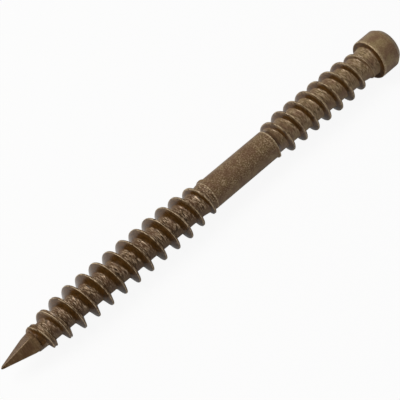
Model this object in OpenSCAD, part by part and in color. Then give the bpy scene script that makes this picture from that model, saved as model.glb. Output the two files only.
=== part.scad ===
// A deck screw, cold formed from one piece of steel wire and coated. From its tip it has a pinched
// four-sided point, a deep thread for the joist, a plain shank, a shallower thread for the deck
// board, and a small cylindrical head with a six-lobe socket in its end.
// It is built standing on its tip along Z, then laid along X with the tip at -X, so that the head
// touches the ground plane.

/* [Whole screw] */
// Length from the tip to the end of the head
screw_length = 63.5; // [60:0.5:90]
// Distance along the axis from one turn of a thread to the next, on both threads
pitch = 2.095; // [1.7:0.005:2.6]
// Diameter of the plain shank between the threads
shank_d = 3.7; // [3.4:0.05:4.2]

/* [Point] */
// Angle between the axis and each of the point's four edges, in degrees
point_edge_angle = 16; // [13:0.5:20]
// Width of the blunt tip across its corners
tip_w = 0.3; // [0.1:0.05:0.6]
// Diameter of the round core where the point's edges run out
point_core_d = 2.56; // [1.8:0.02:2.8]
// Distance from the tip at which the pinched flats begin to turn outwards
flat_end = 3.9; // [3:0.1:5]
// Angle between the axis and the outward turn at the end of each flat, in degrees
flat_end_angle = 60; // [30:1:70]

/* [Joist thread] */
// Diameter over the crests
joist_thread_d = 5.12; // [4.6:0.02:6]
// Diameter of the core between the turns, at the point
joist_root_d = 2.84; // [2.7:0.02:3.2]
// Diameter of the core between the turns, at the shank
joist_root_top_d = 3.1; // [2.8:0.05:3.3]
// Distance from the tip at which the ridge starts
joist_thread_start = 4.6; // [3:0.1:6]
// Distance from the tip at which the ridge has run out
joist_thread_end = 32.7; // [24:0.1:36]
// Length over which the ridge rises to its full height
joist_run_in = 5.8; // [3:0.1:9]
// Length over which the ridge sinks into the shank
joist_run_out = 5.2; // [3:0.1:8]
// Width of the flat along the crest
joist_crest_w = 0.18; // [0.08:0.02:0.4]
// Width of that flat where the ridge starts, blunt and not yet rolled up to its full height
joist_start_crest_w = 0.6; // [0.2:0.05:1]
// Length over which the crest narrows from the one width to the other
joist_crest_taper = 6; // [3:0.5:9]
// Angle between a flank and a plane square to the axis, in degrees
joist_flank_angle = 24; // [15:1:30]
// Angle about the axis at which the ridge starts, in degrees
joist_start_angle = 9; // [0:1:360]
// Length of the core's taper, from the point up to its full thickness
joist_core_taper = 3.4; // [1.5:0.1:5]

/* [Board thread] */
// Diameter over the crests
board_thread_d = 4.9; // [4.4:0.02:5.8]
// Diameter of the core between the turns
board_root_d = 3.29; // [2.8:0.01:3.36]
// Length of the ridge along the axis
board_thread_length = 17.7; // [10:0.1:20]
// Distance from the ridge's end up to the shoulder under the head
board_thread_gap = 0.75; // [0.6:0.05:2]
// Length over which the ridge rises to its full height
board_run_in = 2.8; // [2:0.1:5]
// Length over which the ridge sinks into the neck
board_run_out = 4; // [2:0.5:6]
// Width of the flat along the crest
board_crest_w = 0.18; // [0.08:0.02:0.4]
// Angle between a flank and a plane square to the axis, in degrees
board_flank_angle = 25; // [15:1:30]
// Angle about the axis at which the ridge starts, in degrees
board_start_angle = 178; // [0:1:360]

/* [Core between threads and shank] */
// Length over which the joist thread's core swells to the shank's diameter
joist_core_ramp = 1.8; // [0.8:0.1:2.5]
// Distance from the end of that swell up to the end of the joist thread
joist_swell_gap = 0.7; // [0.2:0.1:1.5]
// Length of the step from the shank down to the board thread's core
board_core_ramp = 0.35; // [0.3:0.05:2]
// Distance from the start of the board thread up to that step
board_swell_gap = 0.6; // [0.1:0.1:1]

/* [Head] */
// Diameter of the head
head_d = 5.35; // [5.2:0.01:6.6]
// Height of the head, from the shoulder under it to its end face
head_h = 3.25; // [3:0.05:4.5]
// Diameter of the flat end face
end_face_d = 4.44; // [4.2:0.02:4.9]
// Length of the sloping edge round the end face
end_edge_h = 0.7; // [0.3:0.05:1.2]
// Radius of the rim at the outer edge of the shoulder
rim_r = 0.12; // [0.05:0.01:0.2]
// Diameter of the neck where it meets the shoulder
neck_d = 4; // [3.8:0.05:4.6]
// Length of the neck's flare, from the board thread's core up to the shoulder
neck_length = 2.2; // [1.5:0.1:4]
// Radius of the hollow fillet between the neck and the shoulder
neck_fillet_r = 0.14; // [0.05:0.01:0.2]

/* [Six-lobe socket] */
// Diameter across opposite lobes
lobe_tip_d = 3.94; // [3.2:0.02:4]
// Diameter across opposite flutes
lobe_root_d = 2.8; // [2.3:0.02:2.9]
// Radius of the flute between two lobes
flute_r = 0.88; // [0.7:0.02:1.1]
// Depth of the lobes
socket_depth = 2; // [1.2:0.1:2.4]
// Angle between the axis and the cone at the socket's bottom, in degrees
socket_bottom_angle = 60; // [45:5:75]

/* [Hidden] */
coated_steel = "#6b553a";
$fn = 96;
// Straight steps in one turn of a thread
turn_steps = 36;
lobes = 6;
point_sides = 4;
// A thread's facets lie this far inside the round shank or neck that takes over from them
facet_inset = 0.01;
// How far a thread's core runs on inside the round body
core_overlap = 0.4;
// How far a cut runs on past the face that it opens
cut_overlap = 1;
// Least share of its height, and least width of its foot, that a ridge keeps at its two ends
least_share = 0.02;
foot_w = 0.03;

shoulder_z = screw_length - head_h;
neck_z = shoulder_z - neck_length;
board_end_z = shoulder_z - board_thread_gap;
board_start_z = board_end_z - board_thread_length;
edge_slope = tan(point_edge_angle);
core_start_z = (point_core_d - tip_w) / 2 / edge_slope;

// Radius of the neck's flare at height z
function neck_r(z) = lookup(z, [[neck_z, board_root_d / 2], [shoulder_z - neck_fillet_r, neck_d / 2]]);

// Core of each thread, as heights and radii from bottom to top
joist_core = [
    [core_start_z, point_core_d / 2],
    [core_start_z + joist_core_taper, joist_root_d / 2],
    [joist_thread_end - joist_swell_gap - joist_core_ramp, joist_root_top_d / 2],
    [joist_thread_end - joist_swell_gap, shank_d / 2 - facet_inset]
];
board_core = [
    [board_start_z + board_swell_gap, shank_d / 2 - facet_inset],
    [board_start_z + board_swell_gap + board_core_ramp, board_root_d / 2],
    [neck_z, board_root_d / 2],
    [board_end_z, neck_r(board_end_z) - facet_inset]
];

// Width of the flat along each crest, as heights and widths from bottom to top: where it is wider than at
// the top, it is wider on its upper side
joist_crest = [
    [joist_thread_start, joist_start_crest_w],
    [joist_thread_start + joist_crest_taper, joist_crest_w]
];
board_crest = [[board_start_z, board_crest_w], [board_end_z, board_crest_w]];

function on_screw(r, turn, z) = [r * cos(turn), r * sin(turn), z];

// Share of its full height that a ridge has at height z: it rises and sinks in a quick curve
function ridge_share(z, start_z, end_z, run_in, run_out) =
    let (risen = min(1, (z - start_z) / run_in))
    let (left = max(0, min(1, (end_z - z) / run_out)))
    max(least_share, sqrt(risen * left));

// A length of rod with a right-handed thread: a ridge with sloping flanks and a narrow flat crest winds
// up the core, and strips of the core join each turn of the ridge to the next
module threaded_rod(core, crest, crest_r, start_z, end_z, run_in, run_out, flank_angle, start_angle, foot_z) {
    steps = round((end_z - start_z) / pitch * turn_steps);
    step_turn = 360 / turn_steps;
    step_z = pitch / turn_steps;
    top_z = start_z + steps * step_z + core_overlap;
    function section(i) =
        let (z = start_z + i * step_z)
        let (turn = start_angle + i * step_turn)
        let (core_r = lookup(z, core))
        let (height = (crest_r - core_r) * ridge_share(z, start_z, end_z, run_in, run_out))
        let (crest_low = z - crest[len(crest) - 1][1] / 2)
        let (crest_high = crest_low + lookup(z, crest))
        let (flank_w = foot_w + height * tan(flank_angle))
        [
            on_screw(lookup(crest_low - flank_w, core), turn, crest_low - flank_w),
            on_screw(core_r + height, turn, crest_low),
            on_screw(core_r + height, turn, crest_high),
            on_screw(lookup(crest_high + flank_w, core), turn, crest_high + flank_w)
        ];
    corners = len(section(0));
    function ring(z, first) =
        [for (i = [0:turn_steps - 1]) on_screw(lookup(z, core), start_angle + (first + i) * step_turn, z)];
    first_up = steps - turn_steps;
    low_ring = (steps + 1) * corners;
    high_ring = low_ring + turn_steps;
    function low(i) = low_ring + i % turn_steps;
    function high(i) = high_ring + i % turn_steps;
    function foot(i) = i * corners;
    function head(i) = i * corners + corners - 1;
    function quad(a, b, c, d) = [[a, b, c], [a, c, d]];
    ridge = [for (i = [0:steps - 1], j = [0:corners - 2])
        each quad(foot(i) + j, foot(i) + j + 1, foot(i + 1) + j + 1, foot(i + 1) + j)];
    core_strips = [for (i = [0:first_up - 1])
        each quad(head(i), foot(i + turn_steps), foot(i + turn_steps + 1), head(i + 1))];
    low_strips = [for (i = [0:turn_steps - 2]) each quad(low(i), foot(i), foot(i + 1), low(i + 1))];
    high_strips = [for (i = [1:turn_steps - 1])
        each quad(head(first_up + i), high(i), high(i + 1), head(first_up + i + 1))];
    // Where the first and last turns begin and end, a fan joins the ridge's end to the core beside it
    low_seam = [
        [low(turn_steps - 1), head(0), foot(0)],
        [low(turn_steps - 1), foot(0), low(0)],
        [low(turn_steps - 1), foot(turn_steps), head(0)],
        [low(turn_steps - 1), foot(turn_steps - 1), foot(turn_steps)]
    ];
    high_seam = [
        [high(1), head(first_up), foot(steps)],
        [high(1), foot(steps), head(steps)],
        [high(1), head(steps), high(0)],
        [high(1), head(first_up + 1), head(first_up)]
    ];
    ridge_ends = [
        [for (j = [corners - 1:-1:0]) foot(0) + j],
        [for (j = [0:corners - 1]) foot(steps) + j]
    ];
    rod_ends = [
        [for (i = [0:turn_steps - 1]) low(i)],
        [for (i = [turn_steps - 1:-1:0]) high(i)]
    ];
    polyhedron(
        concat([for (i = [0:steps]) each section(i)], ring(foot_z, 0), ring(top_z, first_up)),
        concat(ridge, core_strips, low_strips, high_strips, low_seam, high_seam, ridge_ends, rod_ends),
        convexity = 12
    );
}

module joist_rod() {
    threaded_rod(
        joist_core, joist_crest, joist_thread_d / 2, joist_thread_start, joist_thread_end, joist_run_in,
        joist_run_out, joist_flank_angle, joist_start_angle, 0
    );
}

module board_rod() {
    threaded_rod(
        board_core, board_crest, board_thread_d / 2, board_start_z, board_end_z, board_run_in,
        board_run_out, board_flank_angle, board_start_angle, board_start_z - core_overlap
    );
}

// The space that the pinching dies leave: a four-sided point that opens out into a cone
module point_form() {
    cylinder(
        h = screw_length,
        d1 = tip_w,
        d2 = tip_w + 2 * screw_length * edge_slope,
        $fn = point_sides
    );
    translate([0, 0, flat_end])
    cylinder(
        h = screw_length - flat_end,
        r1 = 0,
        r2 = (screw_length - flat_end) * tan(flat_end_angle)
    );
}

module plain_shank() {
    translate([0, 0, joist_thread_end])
    cylinder(h = board_start_z - joist_thread_end, d = shank_d);
}

// Half section of the neck and head, as radius and height
module head_section() {
    fillet_z = shoulder_z - neck_fillet_r;
    difference() {
        polygon([
            [0, board_end_z],
            [neck_r(board_end_z), board_end_z],
            [neck_d / 2, fillet_z],
            [neck_d / 2, shoulder_z],
            [head_d / 2, shoulder_z],
            [head_d / 2, screw_length - end_edge_h],
            [end_face_d / 2, screw_length],
            [0, screw_length]
        ]);
        translate([head_d / 2 - rim_r, shoulder_z])
        difference() {
            square(rim_r);
            translate([0, rim_r])
            circle(r = rim_r);
        }
    }
    translate([neck_d / 2, fillet_z])
    difference() {
        square(neck_fillet_r);
        translate([neck_fillet_r, 0])
        circle(r = neck_fillet_r);
    }
}

module six_lobe_socket() {
    bottom_h = lobe_root_d / 2 / tan(socket_bottom_angle);
    translate([0, 0, screw_length - socket_depth]) {
        linear_extrude(socket_depth + cut_overlap)
        difference() {
            circle(d = lobe_tip_d);
            for (i = [0:lobes - 1])
                rotate((i + 0.5) * 360 / lobes)
                translate([lobe_root_d / 2 + flute_r, 0])
                circle(r = flute_r);
        }
        translate([0, 0, -bottom_h])
        cylinder(h = bottom_h, r1 = 0, r2 = lobe_root_d / 2);
    }
}

module standing_screw() {
    intersection() {
        joist_rod();
        point_form();
    }
    plain_shank();
    board_rod();
    difference() {
        rotate_extrude()
        head_section();
        six_lobe_socket();
    }
}

module screw() {
    color(coated_steel)
    translate([-screw_length / 2, 0, head_d / 2])
    rotate([0, 90, 0])
    standing_screw();
}

screw();
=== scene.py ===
"""A bronze-coated deck screw, lying on a pale floor as it comes to rest.

The screw is one mesh. Each thread is one pitch of its section, wound along the axis by a spin. The radius
of each point then follows the core, the ridge and the pinched point. The head is drawn out ring by ring
from there.
"""
import math

import bmesh
import bpy
from mathutils import Matrix, Vector, noise


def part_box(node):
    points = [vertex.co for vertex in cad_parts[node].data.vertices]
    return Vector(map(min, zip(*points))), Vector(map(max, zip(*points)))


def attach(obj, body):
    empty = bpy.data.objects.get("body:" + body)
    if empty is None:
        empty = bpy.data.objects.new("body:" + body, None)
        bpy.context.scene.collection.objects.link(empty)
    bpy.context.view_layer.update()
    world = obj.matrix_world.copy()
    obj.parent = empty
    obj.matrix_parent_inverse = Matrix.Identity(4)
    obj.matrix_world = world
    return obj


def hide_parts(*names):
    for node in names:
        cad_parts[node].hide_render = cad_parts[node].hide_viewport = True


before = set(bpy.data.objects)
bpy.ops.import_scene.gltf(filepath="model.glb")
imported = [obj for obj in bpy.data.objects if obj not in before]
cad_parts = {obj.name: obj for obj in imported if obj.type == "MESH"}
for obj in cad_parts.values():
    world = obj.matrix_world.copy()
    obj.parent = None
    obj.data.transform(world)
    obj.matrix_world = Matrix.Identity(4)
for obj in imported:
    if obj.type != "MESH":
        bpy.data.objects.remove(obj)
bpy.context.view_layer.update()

MM = 0.001
TURN = 2 * math.pi
# Points of the mesh around the axis, and how near two points are that become one
COLUMNS = 120
WELD = 0.002 * MM

# The whole screw, from its tip at x = 0
node_low, node_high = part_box("screw")
LENGTH = node_high.x - node_low.x
HEAD_R = (node_high.z - node_low.z) / 2
TO_CAD = Matrix.Translation((node_low.x, 0, node_low.z + HEAD_R))
PITCH = 2.095 * MM

# The plain shank, and the groove behind its upper end
SHANK_R = 1.85 * MM
SHANK_START = 32 * MM
SHANK_END = 42.4 * MM
END_LINE = 0.1 * MM
GROOVE_FLOOR = 42.6 * MM
GROOVE_RISE = 42.85 * MM
GROOVE_END = 43 * MM

# The pinched point
TIP_W = 0.3 * MM
TIP_ROUND = 0.12 * MM
POINT_EDGE_ANGLE = math.radians(16)
POINT_CORE_R = 1.28 * MM
POINT_SIDE_TURN = math.radians(90)
EDGE_WEAR = 0.02
FLAT_END = 3.9 * MM
FLAT_END_ANGLE = math.radians(60)
POINT_BLEND = 0.05 * MM
POINT_CORE_START = (POINT_CORE_R - TIP_W / 2) / math.tan(POINT_EDGE_ANGLE)

# The dent before the joist thread's first turn
NOTCH_START = 4.88 * MM
NOTCH_END = 5.75 * MM
NOTCH_WALL = 0.06 * MM
NOTCH_DEPTH = 0.4 * MM
NOTCH_TURN = math.radians(106)
NOTCH_SPAN = math.radians(60)
NOTCH_FADE = math.radians(20)

# The head, with the number of steps along each of its rounded corners
HEAD_H = 3.25 * MM
SHOULDER_X = LENGTH - HEAD_H
RIM_R = 0.12 * MM
RIM_STEPS = 6
RIM_BAND = 0.45 * MM
SIDE_RINGS = (0.5, 0.75, 1)
NECK_R = 2 * MM
NECK_START = SHOULDER_X - 2.2 * MM
NECK_FILLET_R = 0.14 * MM
NECK_FILLET_STEPS = 5
NECK_TOP = SHOULDER_X - NECK_FILLET_R
END_FACE_R = 2.22 * MM
END_EDGE_H = 0.7 * MM
END_ROUND = 0.1 * MM
SIDE_CORNER_STEPS = 3
FACE_CORNER_STEPS = 4

# The six-lobe socket, with a cone below it that starts just inside its flutes
LOBES = 6
LOBE_TIP_R = 1.97 * MM
LOBE_ROOT_R = 1.4 * MM
FLUTE_R = 0.88 * MM
LOBE_BLEND = 0.12 * MM
SOCKET_DEPTH = 2 * MM
SOCKET_CHAMFER = 0.08 * MM
SOCKET_RINGS = (0.25, 0.5, 0.75, 1)
SOCKET_BOTTOM_ANGLE = math.radians(60)
CONE_R = LOBE_ROOT_R * 0.98
CONE_RINGS = (0.4, 0.8, 1)

# The two threads share a pitch and differ in everything else. Crest widths, depths of the seam that splits
# a blunt crest, and radii of the core are given at stations along the axis.
JOIST_START = 4.6 * MM
JOIST = {
    "start": JOIST_START,
    "end": 32.7 * MM,
    "run_in": 5.8 * MM,
    "run_out": 5.2 * MM,
    "crest_r": 2.56 * MM,
    "crest_w": [(JOIST_START, 0.6 * MM), (10.6 * MM, 0.18 * MM)],
    "seam": [(JOIST_START, 0.14 * MM), (8.5 * MM, 0.1 * MM), (11 * MM, 0)],
    "flank_angle": math.radians(24),
    "start_turn": math.radians(279),
    "core": [
        (POINT_CORE_START, POINT_CORE_R),
        (POINT_CORE_START + 3.4 * MM, 1.42 * MM),
        (30.2 * MM, 1.55 * MM),
        (SHANK_START, SHANK_R),
    ],
    "rings": [
        NOTCH_START, NOTCH_START + NOTCH_WALL, SHANK_START - END_LINE, SHANK_START, SHANK_START + END_LINE,
    ],
}
BOARD_START = 41.8 * MM
BOARD_END = 59.5 * MM
BOARD_CORE_R = 1.645 * MM
BOARD = {
    "start": BOARD_START,
    "end": BOARD_END,
    "run_in": 2.8 * MM,
    "run_out": 4 * MM,
    "crest_r": 2.45 * MM,
    "crest_w": [(55 * MM, 0.18 * MM), (BOARD_END, 0.3 * MM)],
    "seam": [(55 * MM, 0), (57.5 * MM, 0.06 * MM)],
    "flank_angle": math.radians(25),
    "start_turn": math.radians(88),
    "core": [
        (SHANK_END, SHANK_R),
        (GROOVE_FLOOR, 1.62 * MM),
        (GROOVE_END, BOARD_CORE_R),
        (NECK_START, BOARD_CORE_R),
        (NECK_TOP, NECK_R),
    ],
    "rings": [
        SHANK_END - 2 * END_LINE, SHANK_END - END_LINE, SHANK_END, SHANK_END + END_LINE / 2,
        GROOVE_FLOOR, GROOVE_RISE, GROOVE_END,
    ],
}
CREST_W = 0.18 * MM
CREST_ROUND = 0.05 * MM
CREST_RIPPLE = 0.03 * MM
RIPPLE_LENGTH = 0.6 * MM
SEAM_SHARE = 0.55
ROOT_FILLET = 0.16 * MM
LEAST_RIDGE = 0.3 * MM
SLIGHT_RIDGE = 0.15 * MM
BLUNT_START = 1.5 * MM
BLUNT_POWER = 0.3
SHANK_MIDDLE = (JOIST["end"] + BOARD["start"]) / 2
# Places across one pitch: to 1 over the crest, to 2 down the flank and to 3 half way over the floor
SECTION_HALF = [0, 0.5, 0.8, 1, 1.06, 1.4, 1.74, 1.81, 1.9, 2, 2.15, 2.5, 3]
SECTION_END = SECTION_HALF[-1]
SECTION_PARTS = [-part for part in reversed(SECTION_HALF[1:])] + SECTION_HALF

# What the mesh tells the coating at each point, from 0 to 1: how much paler it is from rubbing, which also
# paints highlights, how dark its painted shade is, which also sets its clear film, how much grain it shows,
# how pale it is, how fine its grain is and how much clear film lies on it
MARKS = ("wear_and_highlight", "shade_and_film", "grain", "pale", "fine", "film")
# Where it is paler from rubbing, which also paints the highlights these edges catch: along the crests, the
# lines at the shank's ends, the rim and the point's edges. A mark that starts over 1 stays full for a way
# before it fades.
LINE_W = 0.03 * MM
TOP_WEAR_AND_HIGHLIGHT = 0.1
START_LINE_WEAR_AND_HIGHLIGHT = 0.55
END_LINE_WEAR_AND_HIGHLIGHT = 1.6
END_LINE_FADE = 0.8
RIM_WEAR_AND_HIGHLIGHT = 0.6
POINT_EDGE_WEAR_AND_HIGHLIGHT = 0.25
POINT_EDGE_W = 0.1 * MM
# Where painted shade makes it dark brown, with the clear film over it: up the flanks, in the groove, on the
# first floor past it, and also on the point, which is darker towards its tip
SHADE_FOOT = 0.1
SHADE_RISE = 0.09
GROOVE_SHADE = 4
FIRST_FLOOR_END = 45 * MM
FIRST_FLOOR_SHADE = 0.4
POINT_DARK = 0.25
TIP_DARK_END = 0.9 * MM
TIP_DARK_FADE = 0.6 * MM
# Where its grain shows: on two opposite sides of the rod, which paints the way grazing light brings it out,
# and least under the painted shade
HEAD_GRAIN = 0.16
SHANK_GRAIN = 0.45
BOARD_GRAIN = [(GROOVE_END, 0.75), (57 * MM, 0.65)]
GRAIN_HIDDEN = 0.6
GRAIN_SIDE = math.radians(105)
GRAIN_SIDE_RISE = 3
GRAIN_SIDE_START = 0.5
POINT_GRAIN = 0.12
POINT_GRAIN_FADE = 0.6 * MM
# It is paler from the shank to the head, with fine specks on the shank and streaks around the threads
JOIST_LOOK_END = 30 * MM
SHANK_LOOK_START = 33 * MM
PALE = [(JOIST_LOOK_END, 0), (SHANK_LOOK_START, 0.4), (BOARD_START, 0.4), (GROOVE_END, 1)]
FINE = [(JOIST_LOOK_END, 0.15), (SHANK_LOOK_START, 1), (BOARD_START, 1), (GROOVE_END, 0.15)]
# The film is too thin to gloss near the point
FULL_FILM = 0.7
FILM = [(6 * MM, 0), (10 * MM, FULL_FILM)]

# The coating's patterns. Its real grit is too fine to show in the render, so specks and streaks are drawn as
# coarse as they need to show. Streaks are drawn out around the axis.
CLOUD_SIZE = 1 * MM
STREAK_SIZE = 0.5 * MM
STREAK_SQUEEZE = 5
SPECK_SIZE = 0.16 * MM
GRIT_DEPTH = 0.03 * MM

# How much of the floor and the world is plain white to the camera, and in reflections
WHITE_SEEN = 0.92
WHITE_REFLECTED = 0.15

# The floor, the surrounding light and the lamp
FLOOR_HALF_W = 1
WORLD_LIGHT = 0.2
KEY_DIRECTION = (-0.4, 0.38, 0.84)
KEY_DISTANCE = 0.5
KEY_SIZE = 0.3
KEY_POWER = 2.3

# The view
AZIMUTH = math.radians(-45.37)
ELEVATION = math.radians(55.93)
TARGET = Vector((-0.75, 0.175, 2.743)) * MM
DISTANCE = 205.8 * MM
SENSOR_W = 36
LENS = 159.75
NEAREST = 10 * MM


def soft_min(a, b, blend):
    """The smaller of two lengths, with the corner between them rounded over the length of the blend."""
    if blend <= 0:
        return min(a, b)
    near = max(0, blend - abs(a - b)) / blend
    return min(a, b) - near * near * blend / 4


def soft_max(a, b, blend):
    return -soft_min(-a, -b, blend)


def share(value):
    return max(0, min(1, value))


def along(x, stations):
    """Value at x on the line through the stations."""
    if x <= stations[0][0]:
        return stations[0][1]
    for (x0, value0), (x1, value1) in zip(stations, stations[1:]):
        if x <= x1:
            return value0 + (value1 - value0) * (x - x0) / (x1 - x0)
    return stations[-1][1]


def crest_offset(x, angle, thread):
    """Distance along the axis from the nearest turn of the crest, at this angle, to x."""
    crest_x = thread["start"] + PITCH * (angle - thread["start_turn"]) / TURN
    return (x - crest_x + PITCH / 2) % PITCH - PITCH / 2


def ridge_section(centre, thread):
    """Height of the ridge here, and places of its crest's middle, crest's edge and foot from the helix."""
    risen = share((centre - thread["start"]) / thread["run_in"])
    left = share((thread["end"] - centre) / thread["run_out"])
    blunt = share((centre - thread["start"]) / BLUNT_START) ** BLUNT_POWER
    height = (thread["crest_r"] - along(centre, thread["core"])) * math.sqrt(risen * left) * blunt
    half_crest = along(centre, thread["crest_w"]) / 2
    half_foot = half_crest + max(height, LEAST_RIDGE) * math.tan(thread["flank_angle"])
    return height, half_crest - CREST_W / 2, half_crest, half_foot


def thread_radius(x, angle, thread):
    """Radius over the core and the ridge.

    The ridge's blunt stretches are wider towards the head, and split by a seam.
    """
    offset = crest_offset(x, angle, thread)
    centre = x - offset
    height, shift, half_crest, _ = ridge_section(centre, thread)
    from_middle = abs(offset - shift)
    core = along(centre, thread["core"])
    place = Vector((x, core * math.cos(angle), core * math.sin(angle)))
    ripple = CREST_RIPPLE * noise.noise(place / RIPPLE_LENGTH) * share(height / LEAST_RIDGE)
    seam = along(centre, thread["seam"]) * share(1 - from_middle / (half_crest * SEAM_SHARE))
    top = max(0, height + ripple - min(seam, height / 2))
    flank = height - (from_middle - half_crest) / math.tan(thread["flank_angle"])
    ridge = core + soft_min(top, flank, CREST_ROUND)
    return soft_max(along(x, thread["core"]), ridge, min(ROOT_FILLET, height / 2))


def point_radius(x, angle):
    """Radius of the four-sided point, which opens out steeply where its flats end, and has a rounded tip."""
    edge = TIP_W / 2 + x * math.tan(POINT_EDGE_ANGLE)
    from_flat = angle % POINT_SIDE_TURN - POINT_SIDE_TURN / 2
    flat = edge * math.cos(POINT_SIDE_TURN / 2) / math.cos(from_flat)
    flat = soft_min(flat, edge * (1 - EDGE_WEAR), edge * EDGE_WEAR)
    opening = (x - FLAT_END) * math.tan(FLAT_END_ANGLE)
    rounding = math.sqrt(1 - (1 - share(x / TIP_ROUND)) ** 2)
    return max(flat, opening) * rounding


def notch_depth(x, angle):
    """Depth of the dent in which the joist thread's first groove starts, behind one edge of the point."""
    drop = share((x - NOTCH_START) / NOTCH_WALL) * share((NOTCH_END - x) / (NOTCH_END - NOTCH_START))
    turn = abs((angle - NOTCH_TURN + TURN / 2) % TURN - TURN / 2)
    return NOTCH_DEPTH * drop * share((NOTCH_SPAN - turn) / NOTCH_FADE)


def joist_radius(x, angle):
    limit = point_radius(x, angle)
    rod = soft_min(thread_radius(x, angle, JOIST), limit, min(POINT_BLEND, limit))
    return rod - notch_depth(x, angle)


def board_radius(x, angle):
    return thread_radius(x, angle, BOARD)


def fitted_x(x, angle, thread):
    """Moves a place on the even section to the same part of the ridge here, so mesh lines run along it."""
    offset = crest_offset(x, angle, thread)
    centre = x - offset
    _, shift, half_crest, half_foot = ridge_section(centre, thread)
    half = PITCH / 2
    parts = [
        (-SECTION_END, -half), (-2, shift - half_foot), (-1, shift - half_crest),
        (1, shift + half_crest), (2, shift + half_foot), (SECTION_END, half),
    ]
    return centre + along(SECTION_END * offset / half, parts)


def wind_thread(bm, thread, radius, x_from, x_to):
    """Winds one pitch of a thread's section along the axis, and sets it to its radius between two planes."""
    crest_x = thread["start"] - PITCH * thread["start_turn"] / TURN
    first_x = crest_x + PITCH * math.floor((x_from - crest_x) / PITCH - 0.5)
    turns = math.ceil((x_to - first_x) / PITCH + 0.5)
    one_turn = bmesh.new()
    section = [
        one_turn.verts.new((first_x + PITCH * part / (2 * SECTION_END), SHANK_R, 0))
        for part in SECTION_PARTS
    ]
    lines = [one_turn.edges.new(pair) for pair in zip(section, section[1:])]
    bmesh.ops.spin(
        one_turn, geom=section + lines, cent=(0, 0, 0), axis=(1, 0, 0), dvec=(PITCH / COLUMNS, 0, 0),
        angle=TURN, steps=COLUMNS,
    )
    coil = bpy.data.meshes.new("one_turn")
    one_turn.to_mesh(coil)
    one_turn.free()
    wound = bmesh.new()
    for _ in range(turns):
        wound.from_mesh(coil)
        coil.transform(Matrix.Translation((PITCH, 0, 0)))
    for vert in wound.verts:
        angle = math.atan2(vert.co.z, vert.co.y)
        vert.co.x = max(x_from, min(x_to, fitted_x(vert.co.x, angle, thread)))
    bmesh.ops.remove_doubles(wound, verts=wound.verts, dist=WELD)
    for x in thread["rings"]:
        everything = wound.verts[:] + wound.edges[:] + wound.faces[:]
        bmesh.ops.bisect_plane(wound, geom=everything, dist=WELD, plane_co=(x, 0, 0), plane_no=(1, 0, 0))
    for vert in wound.verts:
        angle = math.atan2(vert.co.z, vert.co.y)
        r = radius(vert.co.x, angle)
        vert.co.yz = r * math.cos(angle), r * math.sin(angle)
    bmesh.ops.remove_doubles(wound, verts=wound.verts, dist=WELD)
    wound.to_mesh(coil)
    wound.free()
    bm.from_mesh(coil)
    bpy.data.meshes.remove(coil)


def lobed_radius(angle, grow=0):
    """Radius of the six-lobe outline: a circle with a round flute cut in from each of six sides."""
    flute_turn = TURN / LOBES
    from_flute = (angle + flute_turn / 2) % flute_turn - flute_turn / 2
    flute_x = LOBE_ROOT_R + FLUTE_R
    reach = FLUTE_R ** 2 - (flute_x * math.sin(from_flute)) ** 2
    tip = LOBE_TIP_R + grow
    if reach <= 0:
        return tip
    return soft_min(tip, flute_x * math.cos(from_flute) - math.sqrt(reach) + grow, LOBE_BLEND)


def arc(centre_x, centre_r, radius, turn_from, turn_to, steps):
    """Stations along an arc of a section, with turns in degrees from outwards towards the head."""
    turns = [math.radians(turn_from + (turn_to - turn_from) * i / steps) for i in range(steps + 1)]
    return [(centre_x + radius * math.sin(t), centre_r + radius * math.cos(t)) for t in turns]


def head_stations():
    """The head's section, from the neck over the shoulder and the side to the end face."""
    slope = math.degrees(math.atan2(HEAD_R - END_FACE_R, END_EDGE_H))
    side_end = LENGTH - END_EDGE_H
    fillet = arc(NECK_TOP, NECK_R + NECK_FILLET_R, -NECK_FILLET_R, 0, -90, NECK_FILLET_STEPS)
    rim = arc(SHOULDER_X + RIM_R, HEAD_R - RIM_R, RIM_R, -90, 0, RIM_STEPS)
    side = [(SHOULDER_X + RIM_BAND * part, HEAD_R) for part in SIDE_RINGS]
    corner_back = END_ROUND * math.tan(math.radians(slope / 2))
    corner = arc(side_end - corner_back, HEAD_R - END_ROUND, END_ROUND, 0, slope, SIDE_CORNER_STEPS)
    face_back = END_ROUND * math.tan(math.radians((90 - slope) / 2))
    face = arc(LENGTH - END_ROUND, END_FACE_R - face_back, END_ROUND, slope, 90, FACE_CORNER_STEPS)
    return fillet + rim + side + corner + face


def draw_out(bm, ring, x, radius):
    """Extrudes an open ring of edges to x, with its radius at each angle, and returns the new ring."""
    drawn = bmesh.ops.extrude_edge_only(bm, edges=ring)["geom"]
    for vert in (part for part in drawn if isinstance(part, bmesh.types.BMVert)):
        angle = math.atan2(vert.co.z, vert.co.y)
        r = radius(angle)
        vert.co = (x, r * math.cos(angle), r * math.sin(angle))
    return [part for part in drawn if isinstance(part, bmesh.types.BMEdge) and part.is_boundary]


def draw_head(bm):
    """Draws the head out from the open neck, then the socket and its cone down from the end face."""
    ring = [edge for edge in bm.edges if edge.is_boundary]
    for x, r in head_stations()[1:]:
        ring = draw_out(bm, ring, x, lambda angle: r)
    socket_top = LENGTH - SOCKET_CHAMFER
    socket_floor = LENGTH - SOCKET_DEPTH
    cone_h = LOBE_ROOT_R / math.tan(SOCKET_BOTTOM_ANGLE)
    ring = draw_out(bm, ring, LENGTH, lambda angle: lobed_radius(angle, SOCKET_CHAMFER))
    ring = draw_out(bm, ring, socket_top, lobed_radius)
    for part in SOCKET_RINGS:
        ring = draw_out(bm, ring, socket_top - (SOCKET_DEPTH - SOCKET_CHAMFER) * part, lobed_radius)
    ring = draw_out(bm, ring, socket_floor, lambda angle: CONE_R)
    for part in CONE_RINGS:
        ring = draw_out(bm, ring, socket_floor - cone_h * part, lambda angle: CONE_R * (1 - part))


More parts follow.
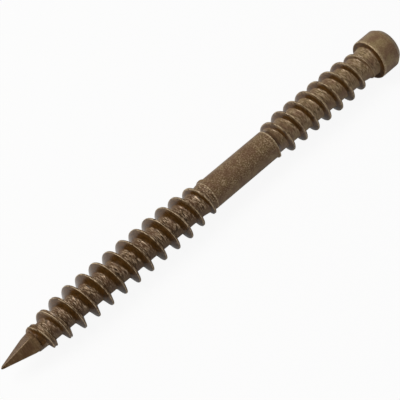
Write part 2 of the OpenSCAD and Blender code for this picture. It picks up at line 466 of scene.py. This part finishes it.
def head_marks(x, r):
    """Marks of the head: paler from rubbing along its rim, which also paints the rim's highlight, and
    painted shade under its shoulder.
    """
    # Paler from rubbing along the rim, which also paints its highlight
    on_rim = min(share(1 - (x - SHOULDER_X) / RIM_BAND), share(1 - (HEAD_R - r) / RIM_R))
    # Painted shade on the flat under the shoulder
    shoulder_shade = share((SHOULDER_X + WELD - x) / WELD)
    return RIM_WEAR_AND_HIGHLIGHT * on_rim, shoulder_shade, HEAD_GRAIN, 1, 1, 0


def end_line_wear_and_highlight(x):
    """How much paler from rubbing the lines at the two ends of the shank are, which also paints their
    highlights.
    """
    if x < SHANK_MIDDLE:
        return START_LINE_WEAR_AND_HIGHLIGHT * share(1 - abs(x - SHANK_START) / END_LINE)
    if x < GROOVE_END:
        return share(END_LINE_WEAR_AND_HIGHLIGHT - END_LINE_FADE * (SHANK_END - x) / END_LINE)
    return 0


def groove_shade(x):
    """How dark the painted shade is in the groove behind the shank, and how much darker the thread's first
    floor is.
    """
    if SHANK_END + WELD < x < GROOVE_END:
        return share(GROOVE_SHADE * (GROOVE_END - x) / (GROOVE_END - SHANK_END))
    if GROOVE_END <= x < FIRST_FLOOR_END:
        return FIRST_FLOOR_SHADE * (FIRST_FLOOR_END - x) / (FIRST_FLOOR_END - GROOVE_END)
    return 0


def rolled_grain(x, angle, shade_and_film):
    """How much grain shows on the threads and the shank."""
    full = 1 if x < SHANK_MIDDLE else along(x, BOARD_GRAIN)
    on_shank = share((x - SHANK_START) / END_LINE) * share((SHANK_END - x) / END_LINE)
    # Painted light: the grain shows most on the two sides where light grazes it
    grain_lit_sides = share(GRAIN_SIDE_RISE * (abs(math.cos(angle - GRAIN_SIDE)) - GRAIN_SIDE_START))
    return (1 - GRAIN_HIDDEN * shade_and_film) * (full + (SHANK_GRAIN - full) * on_shank) * grain_lit_sides


def coat_marks(x, r, angle):
    """The marks at a point of the mesh, in the order of their names."""
    if x > NECK_TOP + WELD:
        return head_marks(x, r)
    thread = JOIST if x < SHANK_MIDDLE else BOARD
    offset = crest_offset(x, angle, thread)
    centre = x - offset
    height, shift, half_crest, _ = ridge_section(centre, thread)
    under_crest = along(centre, thread["core"]) + height - r
    over_core = r - along(x, thread["core"])
    ridge = share((height - SLIGHT_RIDGE) / LEAST_RIDGE)
    up_flank = share((over_core / max(height, LEAST_RIDGE) - SHADE_FOOT) / SHADE_RISE)
    # Paler from rubbing along the crest's edges and a little on its top, which also paints the crests'
    # highlights
    low_edge = share(1 - abs(offset - shift + half_crest) / LINE_W)
    high_edge = share(1 - abs(offset - shift - half_crest) / LINE_W)
    on_top = TOP_WEAR_AND_HIGHLIGHT * share((half_crest - abs(offset - shift)) / LINE_W)
    blunt = share((2 * half_crest - CREST_W) / CREST_W)
    wear_and_highlight = ridge * max(low_edge, on_top, high_edge * blunt)
    wear_and_highlight = max(wear_and_highlight, (1 - ridge * up_flank) * end_line_wear_and_highlight(x))
    if SHANK_END + WELD < x < GROOVE_END:
        wear_and_highlight = 0
    # Painted shade, dark brown up the flanks, in the groove and on the first floor past it
    shade_and_film = max(ridge * share(under_crest / LINE_W) * up_flank, groove_shade(x))
    grain = rolled_grain(x, angle, shade_and_film)
    if x < NOTCH_END:
        from_edge = abs((angle + POINT_SIDE_TURN / 2) % POINT_SIDE_TURN - POINT_SIDE_TURN / 2) * r
        on_edge = share(1 - from_edge / POINT_EDGE_W)
        on_edge *= share((POINT_CORE_START + POINT_EDGE_W - x) / POINT_EDGE_W)
        # Paler from rubbing along the point's edges, which also paints their highlight
        wear_and_highlight = max(wear_and_highlight, POINT_EDGE_WEAR_AND_HIGHLIGHT * on_edge)
        # Painted shade in the notch; the point is darker all over, and most at its tip
        notch_shade = share(notch_depth(x, angle) / LINE_W)
        shade_and_film = max(shade_and_film, POINT_DARK, notch_shade, share((TIP_DARK_END - x) / TIP_DARK_FADE))
        grain = POINT_GRAIN + (1 - POINT_GRAIN) * share((x - NOTCH_START) / POINT_GRAIN_FADE)
    return wear_and_highlight, shade_and_film, grain, along(x, PALE), along(x, FINE), shade_and_film * along(x, FILM)


def mark_coating(bm):
    """Gives each point of the mesh its marks, which the coating's material reads."""
    layers = [bm.verts.layers.float.new(name) for name in MARKS]
    for vert in bm.verts:
        r = math.hypot(vert.co.y, vert.co.z)
        angle = math.atan2(vert.co.z, vert.co.y)
        for layer, mark in zip(layers, coat_marks(vert.co.x, r, angle)):
            vert[layer] = mark


def add_object(name, data):
    item = bpy.data.objects.new(name, data)
    bpy.context.scene.collection.objects.link(item)
    return item


def finish_mesh(bm, name):
    """Gives a finished bmesh to a new object."""
    mesh = bpy.data.meshes.new(name)
    bm.to_mesh(mesh)
    bm.free()
    return add_object(name, mesh)


def make_screw():
    """Winds both threads, draws out the head, closes and marks the mesh, and lays it in the CAD frame."""
    bm = bmesh.new()
    wind_thread(bm, JOIST, joist_radius, 0, SHANK_MIDDLE)
    wind_thread(bm, BOARD, board_radius, SHANK_MIDDLE, NECK_TOP)
    bmesh.ops.remove_doubles(bm, verts=bm.verts, dist=WELD)
    draw_head(bm)
    bmesh.ops.remove_doubles(bm, verts=bm.verts, dist=WELD)
    bmesh.ops.recalc_face_normals(bm, faces=bm.faces)
    for face in bm.faces:
        face.smooth = True
    mark_coating(bm)
    bmesh.ops.transform(bm, matrix=TO_CAD, verts=bm.verts)
    return finish_mesh(bm, "coated_screw")


def linear(hex_colour):
    """A linear colour from an sRGB hex value."""
    values = [int(hex_colour[i:i + 2], 16) / 255 for i in (1, 3, 5)]
    return [v / 12.92 if v <= 0.04045 else ((v + 0.055) / 1.055) ** 2.4 for v in values] + [1]


def add_node(tree, kind, inputs, **settings):
    """Adds a node with its settings, and sets or links its inputs by name or number."""
    node = tree.nodes.new(kind)
    for name, value in settings.items():
        setattr(node, name, value)
    for socket, value in inputs.items():
        if isinstance(value, bpy.types.NodeSocket):
            tree.links.new(value, node.inputs[socket])
        else:
            node.inputs[socket].default_value = value
    return node


def new_material(name):
    material = bpy.data.materials.new(name)
    material.use_nodes = True
    material.node_tree.nodes.clear()
    return material, material.node_tree


def bronze_coating():
    """A baked polymer coat with bronze flake, over rolled steel.

    To the eye it is satin brown, with pale and dark grain from the steel below it; its pale specks are
    partly painted glints.
    Painted shade makes it deeper brown on the flanks, in the groove and under the shoulder, with a clear
    glossy film gathered on the flanks, and it is paler tan from rubbing along edges, which also paints their
    highlights.
    """
    material, tree = new_material("bronze_polymer_coating")
    place = add_node(tree, "ShaderNodeTexCoord", {}).outputs["Object"]
    marks = {
        name: add_node(tree, "ShaderNodeAttribute", {}, attribute_name=name).outputs["Fac"]
        for name in MARKS
    }
    squeezed = add_node(tree, "ShaderNodeMapping", {"Vector": place, "Scale": (STREAK_SQUEEZE, 1, 1)})
    cloud, streaks, specks = [
        add_node(
            tree, "ShaderNodeTexNoise", {"Vector": where, "Scale": 1 / size, "Detail": detail},
        ).outputs["Fac"]
        for where, size, detail in [
            (place, CLOUD_SIZE, 2),
            (squeezed.outputs["Vector"], STREAK_SIZE, 3),
            (place, SPECK_SIZE, 2),
        ]
    ]
    grit = add_node(
        tree, "ShaderNodeMixRGB", {"Fac": marks["fine"], "Color1": streaks, "Color2": specks},
    ).outputs["Color"]

    # Where each pattern passes from nothing to all
    patches, showing, dark_grit, pale_grit, shade_mottle, broken = [
        add_node(
            tree, "ShaderNodeMapRange",
            {"Value": value, "From Min": start, "From Max": end, "To Min": least},
        ).outputs["Result"]
        for value, start, end, least in [
            (cloud, 0.35, 0.65, 0),
            (cloud, 0.42, 0.58, 0.5),
            (grit, 0.5, 0.42, 0),
            (grit, 0.52, 0.6, 0),
            (streaks, 0.4, 0.6, 0),
            (grit, 0.36, 0.54, 0),
        ]
    ]
    grain = add_node(
        tree, "ShaderNodeMath", {0: marks["grain"], 1: showing}, operation="MULTIPLY",
    ).outputs[0]
    dark_spots, pale_spots, wear_and_highlight_lines, relief = [
        add_node(tree, "ShaderNodeMath", {0: pattern, 1: part}, operation="MULTIPLY").outputs[0]
        for pattern, part in [
            (dark_grit, grain), (pale_grit, grain), (broken, marks["wear_and_highlight"]), (grit, grain),
        ]
    ]

    # The brown of the joist thread, under all that lies over it, with the pale brown and the painted shade's
    # dark brown
    colour, pale_brown, shade_brown = [
        add_node(
            tree, "ShaderNodeMixRGB", {"Fac": part, "Color1": linear(first), "Color2": linear(second)},
        ).outputs["Color"]
        for part, first, second in [
            (patches, "#63472e", "#755c3d"),
            (patches, "#7b5f45", "#917a55"),
            (shade_mottle, "#452c0c", "#5a3a12"),
        ]
    ]
    # Over it: the paler tone, dark grain, pale specks that are partly painted glints, painted shade, and the
    # lines paler from rubbing with their painted highlight
    for part, over in [
        (marks["pale"], pale_brown),
        (dark_spots, linear("#2e1d0a")),
        (pale_spots, linear("#c6ad92")),
        (marks["shade_and_film"], shade_brown),
        (wear_and_highlight_lines, linear("#d6bf9b")),
    ]:
        colour = add_node(
            tree, "ShaderNodeMixRGB", {"Fac": part, "Color1": colour, "Color2": over},
        ).outputs["Color"]

    roughness = add_node(
        tree, "ShaderNodeMapRange",
        {"Value": marks["film"], "From Max": FULL_FILM, "To Min": 0.44, "To Max": 0.28},
    )
    bump = add_node(tree, "ShaderNodeBump", {"Height": relief, "Strength": 0.8, "Distance": GRIT_DEPTH})
    shader = add_node(tree, "ShaderNodeBsdfPrincipled", {
        "Base Color": colour,
        "Metallic": 0.25,
        "Specular IOR Level": 0.35,
        "Roughness": roughness.outputs["Result"],
        "Coat Weight": marks["film"],
        "Coat Roughness": 0.22,
        "Normal": bump.outputs["Normal"],
    })
    add_node(tree, "ShaderNodeOutputMaterial", {"Surface": shader.outputs["BSDF"]})
    return material


def seen_as_white(tree, lit, white):
    """Shows a lit surface nearly as plain white to the camera, and partly so in reflections."""
    rays = add_node(tree, "ShaderNodeLightPath", {}).outputs
    part = add_node(tree, "ShaderNodeMath", {0: rays["Is Camera Ray"], 1: WHITE_SEEN}, operation="MULTIPLY")
    for ray in ("Is Glossy Ray", "Is Transmission Ray"):
        part = add_node(
            tree, "ShaderNodeMath", {0: rays[ray], 1: WHITE_REFLECTED, 2: part.outputs[0]},
            operation="MULTIPLY_ADD",
        )
    shown = {0: part.outputs[0], 1: lit.outputs[0], 2: white.outputs[0]}
    return add_node(tree, "ShaderNodeMixShader", shown).outputs[0]


def pale_floor():
    """Matt painted board: pale and even, with a soft shadow."""
    material, tree = new_material("pale_floor")
    lit = add_node(tree, "ShaderNodeBsdfDiffuse", {"Color": linear("#dedddb")})
    white = add_node(tree, "ShaderNodeEmission", {"Color": linear("#ffffff"), "Strength": 1})
    add_node(tree, "ShaderNodeOutputMaterial", {"Surface": seen_as_white(tree, lit, white)})
    return material


def make_floor():
    bm = bmesh.new()
    bmesh.ops.create_grid(bm, x_segments=1, y_segments=1, size=FLOOR_HALF_W)
    floor = finish_mesh(bm, "floor")
    floor.data.materials.append(pale_floor())


def make_world():
    world = bpy.data.worlds.new("studio")
    bpy.context.scene.world = world
    world.use_nodes = True
    tree = world.node_tree
    tree.nodes.clear()
    lit = add_node(tree, "ShaderNodeBackground", {"Color": linear("#ffffff"), "Strength": WORLD_LIGHT})
    white = add_node(tree, "ShaderNodeBackground", {"Color": linear("#ffffff"), "Strength": 1})
    add_node(tree, "ShaderNodeOutputWorld", {"Surface": seen_as_white(tree, lit, white)})


def make_lamp():
    """A soft square lamp that faces the screw."""
    data = bpy.data.lights.new("key", "AREA")
    data.size = KEY_SIZE
    data.energy = KEY_POWER
    lamp = add_object("key", data)
    towards = Vector(KEY_DIRECTION).normalized()
    lamp.location = towards * KEY_DISTANCE
    lamp.rotation_euler = towards.to_track_quat("Z", "Y").to_euler()


def make_camera():
    """A long lens that looks down along the screw from the side of its tip."""
    level = math.cos(ELEVATION)
    back = Vector((math.sin(AZIMUTH) * level, -math.cos(AZIMUTH) * level, math.sin(ELEVATION)))
    data = bpy.data.cameras.new("camera")
    data.sensor_width = SENSOR_W
    data.lens = LENS
    data.clip_start = NEAREST
    camera = add_object("camera", data)
    camera.location = TARGET + back * DISTANCE
    camera.rotation_euler = back.to_track_quat("Z", "Y").to_euler()
    bpy.context.scene.camera = camera


bpy.context.scene.view_settings.view_transform = "Standard"
make_camera()
make_world()
make_lamp()
make_floor()

screw = make_screw()
screw.data.materials.append(bronze_coating())
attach(screw, "root")
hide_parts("screw")
